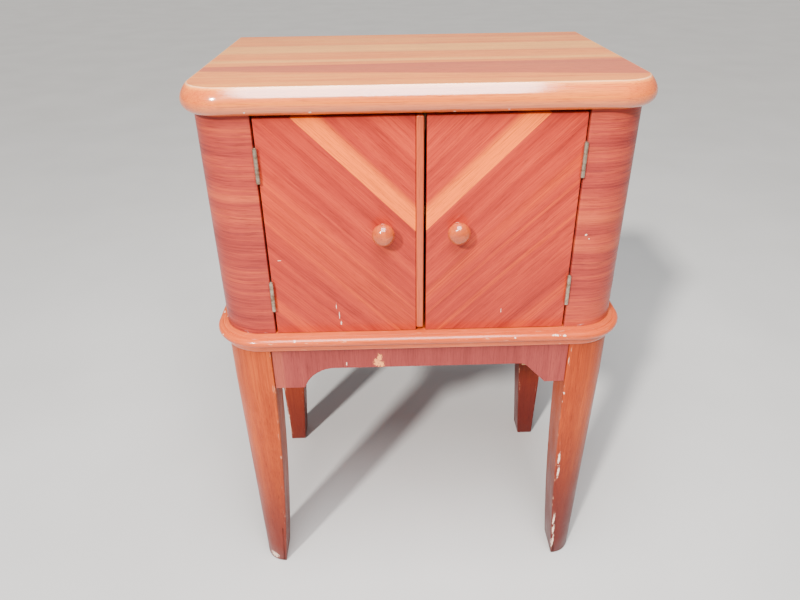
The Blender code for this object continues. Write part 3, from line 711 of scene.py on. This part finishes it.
def base_profile(low, high):
    """The base board's edge from below, as (inset, height, wear): a set-back fillet under a bead."""
    bead_top = high.z - BEAD_QUIRK
    quirk = BEAD_RADIUS + BEAD_QUIRK
    most_worn = 0.6 * BEAD_STEPS
    profile = [
        (BASE_RIM, low.z, 0.0),
        (FILLET_INSET + 0.0022, low.z, 0.0),
        (FILLET_INSET + 0.0012, low.z + 0.0008, 0.8),
        (FILLET_INSET + 0.0006, low.z + 0.0030, 0.2),
        (FILLET_INSET, bead_top - 2 * BEAD_RADIUS - 0.0006, 0.0),
    ]
    bead = arc((BEAD_RADIUS, bead_top - BEAD_RADIUS), BEAD_RADIUS, 1.5 * math.pi, QUARTER, BEAD_STEPS)
    profile += [(inset, z, max(0.0, 1.0 - abs(i - most_worn) / 5)) for i, (inset, z) in enumerate(bead)]
    profile += [
        (quirk, bead_top - 0.0004, 0.0),
        (quirk + 0.0003, high.z - 0.0003, 0.5),
        (quirk + 0.0009, high.z, 0.2),
        (BASE_RIM, high.z, 0.0),
    ]
    return profile


def running_lengths(points, closed=False):
    """How far each point lies along a path, and the whole length of a closed one at its end."""
    lengths = [0.0]
    for before, after in zip(points, points[1:]):
        lengths.append(lengths[-1] + math.dist(before[:2], after[:2]))
    if closed:
        lengths.append(lengths[-1] + math.dist(points[-1], points[0]))
    return lengths


def make_base():
    """The moulded board: grain follows the moulding round its edge, and runs across on the floor inside."""
    low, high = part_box("base_board")
    corner = CASE_CORNER_RADIUS + BASE_SIDE_OVERHANG
    profile = base_profile(low, high)
    rings, wear = [], []
    for inset, z, rubbed in profile:
        outline = board_outline(high.x, low.y, high.y, corner, inset)
        rings.append([(x, y, z) for x, y in outline])
        wear += [rubbed] * len(outline)
    edge = board_outline(high.x, low.y, high.y, corner)
    count = len(edge)
    lengths = running_lengths(edge, closed=True)
    levels = running_lengths(profile)

    def grain(corners, vertex, point):
        if len(corners) > 4:
            return point.x, point.y, point.z
        columns = sorted({c % count for c in corners})
        wraps = columns == [0, count - 1] and vertex % count == 0
        return lengths[count if wraps else vertex % count], levels[vertex // count], 0.0

    vertices, faces = loft(rings)
    material = wood(
        "moulding_varnished", *MOULDING_TONES, figure=(2.0, 60.0), paint=moulding_paint,
        worn=(0.80, 0.50, 0.30), gloss=0.8, coat_roughness=0.15,
    )
    mesh = make_mesh("moulded_base", vertices, faces, grain, wear)
    add_piece(mesh, "cabinet", material, "base_board")


def panel_plan(low, high):
    """A bent panel's plan on the right side: its outer face from back to tip, then its inner face."""
    outer = max(abs(low.x), abs(high.x))
    tip = min(abs(low.x), abs(high.x))
    front, back = low.y, high.y
    centre = (outer - CASE_CORNER_RADIUS, front + CASE_CORNER_RADIUS)
    outside = list(divided((outer, back), (outer, centre[1]), 0.02))
    outside += arc(centre, CASE_CORNER_RADIUS, 0.0, -QUARTER, CORNER_STEPS)
    outside += [(tip + 0.0035, front), (tip + 0.0012, front), (tip + 0.0003, front + 0.0003)]
    outside.append((tip, front + 0.0012))
    inside = [(tip, front + PANEL_THICKNESS)]
    inside += arc(centre, CASE_CORNER_RADIUS - PANEL_THICKNESS, -QUARTER, 0.0, 12)
    inside.append((outer - PANEL_THICKNESS, back))
    return outside, inside


def make_side_panel(side_name, side, material):
    """A bent panel whose grain runs level round the corner, rubbed along its foot."""
    low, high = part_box(f"side_panel_{side_name}")
    outside, inside = panel_plan(low, high)
    plan = outside + inside
    count = len(plan)
    lengths = running_lengths(plan, closed=True)
    heights = [low.z + (high.z - low.z) * share for share in PANEL_LEVELS]
    vertices, faces = loft([[(side * x, y, z) for x, y in plan] for z in heights])

    def grain(corners, vertex, point):
        columns = sorted({c % count for c in corners})
        wraps = len(corners) == 4 and columns == [0, count - 1] and vertex % count == 0
        return lengths[count if wraps else vertex % count], point.z, 0.3 * side

    rubbed = [1.0] * len(outside) + [0.0] * len(inside)
    wear = rubbed * 2 + [0.0] * count * (len(heights) - 2)
    mesh = make_mesh(f"bent_panel_{side_name}", vertices, faces, grain, wear)
    add_piece(mesh, "cabinet", material, f"side_panel_{side_name}")


def make_side_panels():
    material = wood(
        "case_veneer", *CASE_TONES, figure=(2.4, 55.0), paint=case_paint, worn=(0.86, 0.76, 0.66),
        gloss=0.25, coat_roughness=0.20,
    )
    for side_name, side in SIDES.items():
        make_side_panel(side_name, side, material)


def make_door(side_name, side):
    """A door with its veneer slanting up and outwards in front, and upright behind."""
    low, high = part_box(f"door_{side_name}")
    low.z -= DOOR_DROP
    vertices, faces = rounded_box(low, high, DOOR_ROUNDING)
    inside_y = low.y + 0.6 * (high.y - low.y)
    slope = math.sqrt(0.5)

    def grain(corners, vertex, point):
        if min(vertices[corner][1] for corner in corners) > inside_y:
            return point.z, 1.0 + side * point.x, 0.0
        across = (point.z - side * point.x) * slope
        along = (point.z + side * point.x) * slope
        return along, across, point.y + 0.4 * side

    wear = []
    for x, y, z in vertices:
        from_edge = min(x - low.x, high.x - x, z - low.z, high.z - z)
        wear.append(0.4 if from_edge < 0.0006 and y < low.y + 0.0007 else 0.0)
    material = wood(
        f"door_veneer_{side_name}", *DOOR_TONES, figure=(1.8, 84.0), paint=door_paint(side_name),
        worn=(0.62, 0.20, 0.10), gloss=0.35, coat_roughness=0.22,
    )
    mesh = make_mesh(f"chevron_door_{side_name}", vertices, faces, grain, wear)
    add_piece(mesh, f"{side_name}_door", material, f"door_{side_name}")


def make_meeting_strip():
    low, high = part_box("meeting_strip")
    vertices, faces = rounded_box(low, high, STRIP_ROUNDING, 6)
    material = wood("strip_varnished", *STRIP_TONES, figure=(1.5, 130.0))
    mesh = make_mesh("door_meeting_strip", vertices, faces, along_z)
    add_piece(mesh, "left_door", material, "meeting_strip")


def knob_profile(length, radius):
    """A knob from the front, as (radius, distance forward): a flattened ball, a neck and a foot."""
    half = length * 0.445
    middle = length - half
    profile = [(0.0004, length)]
    for i in range(1, KNOB_BALL_STEPS + 1):
        angle = QUARTER - KNOB_BALL_TURN * i / KNOB_BALL_STEPS
        fullness = KNOB_FRONT_FULLNESS if angle > 0 else 1.0
        profile.append((radius * math.cos(angle) ** fullness, middle + half * math.sin(angle)))
    neck, foot = radius * 0.53, radius * 0.68
    profile += [(neck * 1.02, length * 0.17), (neck, length * 0.14), (neck * 1.08, length * 0.105)]
    profile += [(radius * 0.64, length * 0.075), (foot, length * 0.05), (foot, length * 0.01)]
    profile.append((radius * 0.66, 0.0))
    return profile


def make_knobs():
    material = wood(
        "knob_varnished", *KNOB_TONES, figure=(6.0, 150.0), worn=(0.70, 0.38, 0.18), roughness=0.30,
        gloss=1.0, coat_roughness=0.09, coat_ior=1.55,
    )
    for side_name in SIDES:
        low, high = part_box(f"knob_{side_name}")
        centre = Vector(((low.x + high.x) / 2, high.y, (low.z + high.z) / 2))
        profile = knob_profile(high.y - low.y, (high.x - low.x) / 2)
        vertices, faces = turned(profile[::-1], centre)

        def grain(corners, vertex, point, centre=centre):
            return point.y - centre.y, point.x - centre.x, point.z - centre.z + 0.2 * centre.x

        mesh = make_mesh(f"ball_knob_{side_name}", vertices, faces, grain)
        add_piece(mesh, f"{side_name}_door", material, f"knob_{side_name}")


def leg_section(node, height, radius):
    """A leg's plan section at a height, as (inner, outer, front, back, outer front radius)."""
    ring = [v.co for v in node.data.vertices if abs(v.co.z - height) < 0.0005]
    xs = [abs(co.x) for co in ring]
    ys = [co.y for co in ring]
    return min(xs), max(xs), min(ys), max(ys), radius


def make_leg(end, side_name, side, material):
    """A tapered leg, worn at its arrises and foot; a front one swells a little on its inner side."""
    name = f"leg_{end}_{side_name}"
    in_front = end == "front"
    top_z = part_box(name)[1].z
    foot = leg_section(NODES[name], 0.0, FRONT_LEG_FOOT_RADIUS if in_front else ARRIS_RADIUS)
    top = leg_section(NODES[name], LEG_TAPER_TOP, FRONT_LEG_TOP_RADIUS if in_front else ARRIS_RADIUS)
    levels = [(0.0, 0.0016), (0.0006, 0.0006), (0.0018, 0.0)]
    levels += [(LEG_TAPER_TOP * i / LEG_TAPER_STEPS, 0.0) for i in range(1, LEG_TAPER_STEPS + 1)]
    levels += [(LEG_TAPER_TOP + 0.004, 0.0), (top_z, 0.0)]
    rings, wear = [], []
    for z, pull in levels:
        share = min(z / LEG_TAPER_TOP, 1.0)
        inner, outer, front, back, radius = (a + (b - a) * share for a, b in zip(foot, top))
        swell = FRONT_LEG_SWELL * 4 * share * (1 - share) if in_front else 0.0
        section = (inner + pull - swell, outer - pull, front + pull, back - pull, radius)
        outline, rubbed = leg_outline(section, side)
        rings.append([(x, y, z) for x, y in outline])
        wear += [1.0] * len(rubbed) if z < 0.001 else rubbed
    vertices, faces = loft(rings)
    mesh = make_mesh(f"tapered_{name}", vertices, faces, along_z, wear)
    add_piece(mesh, "cabinet", material, name)


def make_legs():
    material = wood(
        "leg_varnished", *LEG_TONES, figure=(1.2, 60.0), paint=leg_paint, worn=(0.80, 0.50, 0.32),
        gloss=0.15,
    )
    for end in ("front", "rear"):
        for side_name, side in SIDES.items():
            make_leg(end, side_name, side, material)


def soften_cad(node, width):
    """Fine rounded edges on a CAD node, which keeps its own mesh."""
    weld = node.modifiers.new("weld", "WELD")
    weld.merge_threshold = 0.00002
    bevel = node.modifiers.new("soft_edges", "BEVEL")
    bevel.width = width
    bevel.segments = 2
    bevel.limit_method = "ANGLE"
    bevel.angle_limit = math.radians(50)
    bevel.harden_normals = False


def dress(node_name, material):
    node = NODES[node_name]
    if not node.material_slots:
        node.data.materials.append(material)
    for slot in node.material_slots:
        slot.material = material


def dress_carcass():
    """Plain secondary wood inside, its grain along each piece's longest side."""
    names = ["back_panel", "shelf", "top_rail", "apron_back"]
    names += [f"{kind}_{side}" for kind in ("front_stile", "top_cleat", "shelf_cleat") for side in SIDES]
    names += [f"corner_brace_{end}_{side}" for end in ("front", "rear") for side in SIDES]
    materials = [
        wood(
            f"carcass_{order.lower()}", *CARCASS_TONES, source=grain_object(order), figure=(2.5, 55.0),
            roughness=0.55, gloss=0.15, coat_roughness=0.35,
        )
        for order in ("XYZ", "YXZ", "ZXY")
    ]
    for name in names:
        low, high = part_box(name)
        size = high - low
        longest = max(range(3), key=lambda axis: size[axis])
        dress(name, materials[longest])


def dress_aprons():
    front_material = wood(
        "apron_veneer", *APRON_TONES, source=grain_object("ZXY"), figure=(3.0, 70.0), paint=apron_paint,
        gloss=0.2, coat_roughness=0.3,
    )
    side_material = wood(
        "side_apron", *DOOR_TONES, source=grain_object("YXZ"), gloss=0.5, coat_roughness=0.22,
    )
    dress("apron_front", front_material)
    soften_cad(NODES["apron_front"], APRON_ROUNDING)
    for side_name in SIDES:
        dress(f"apron_{side_name}", side_material)


def dress_metal():
    hinge = metal("hinge_metal", *HINGE_METAL)
    brass = metal("catch_brass", *CATCH_BRASS)
    steel = metal("screw_steel", *SCREW_STEEL)
    for name in NODES:
        if name.startswith("hinge_"):
            dress(name, hinge)
        elif name.startswith(("catch_", "strike_")):
            dress(name, brass)
        elif name.startswith("knob_screw_"):
            dress(name, steel)


# ---------------------------------------------------------------- stage


def make_floor():
    place = (0.0, 0.0, -FLOOR_DROP)
    bpy.ops.mesh.primitive_grid_add(x_subdivisions=8, y_subdivisions=8, size=FLOOR_SIZE, location=place)
    floor = bpy.context.object
    floor.name = "pale_ground"
    floor.data.materials.append(floor_material())


def add_light(light, place, towards):
    obj = bpy.data.objects.new(light.name, light)
    bpy.context.scene.collection.objects.link(obj)
    obj.location = place
    obj.rotation_mode = "QUATERNION"
    obj.rotation_quaternion = towards.to_track_quat("-Z", "Y")


def direction(azimuth, pitch):
    """The way that azimuth, from +Y towards +X, and pitch, downwards, point."""
    level = Vector((math.sin(azimuth), math.cos(azimuth), 0.0))
    return level * math.cos(pitch) - Vector((0.0, 0.0, math.sin(pitch)))


def make_key_light():
    key = bpy.data.lights.new("key", "SUN")
    key.energy = KEY_STRENGTH
    key.angle = KEY_WIDTH
    key.color = KEY_COLOUR
    add_light(key, (0.0, 0.0, 0.0), direction(KEY_AZIMUTH, KEY_ELEVATION))


def make_soft_box():
    box = bpy.data.lights.new("overhead_soft_box", "AREA")
    box.shape = "RECTANGLE"
    box.size, box.size_y = SOFT_BOX_SIZE
    box.energy = SOFT_BOX_POWER
    add_light(box, SOFT_BOX_PLACE, Vector(SOFT_BOX_TARGET) - Vector(SOFT_BOX_PLACE))


def make_sky():
    world = bpy.data.worlds.new("studio")
    bpy.context.scene.world = world
    world.use_nodes = True
    background = world.node_tree.nodes["Background"].inputs
    background["Color"].default_value = SKY_COLOUR
    background["Strength"].default_value = SKY_STRENGTH


def make_camera():
    data = bpy.data.cameras.new("photo_camera")
    data.lens = CAMERA_LENS
    data.sensor_width = SENSOR_WIDTH
    camera = bpy.data.objects.new("photo_camera", data)
    bpy.context.scene.collection.objects.link(camera)
    forward = direction(CAMERA_YAW, CAMERA_PITCH)
    right = forward.cross(Vector((0.0, 0.0, 1.0))).normalized()
    up = right.cross(forward)
    rolled_right = right * math.cos(CAMERA_ROLL) + up * math.sin(CAMERA_ROLL)
    rolled_up = up * math.cos(CAMERA_ROLL) - right * math.sin(CAMERA_ROLL)
    turn = Matrix((rolled_right, rolled_up, -forward)).transposed()
    camera.matrix_world = Matrix.Translation(CAMERA_PLACE) @ turn.to_4x4()
    bpy.context.scene.camera = camera


# ---------------------------------------------------------------- build

make_camera()
make_top()
make_base()
make_side_panels()
for door_side_name, door_side in SIDES.items():
    make_door(door_side_name, door_side)
make_meeting_strip()
make_knobs()
make_legs()
dress_carcass()
dress_aprons()
dress_metal()
make_floor()
make_key_light()
make_soft_box()
make_sky()
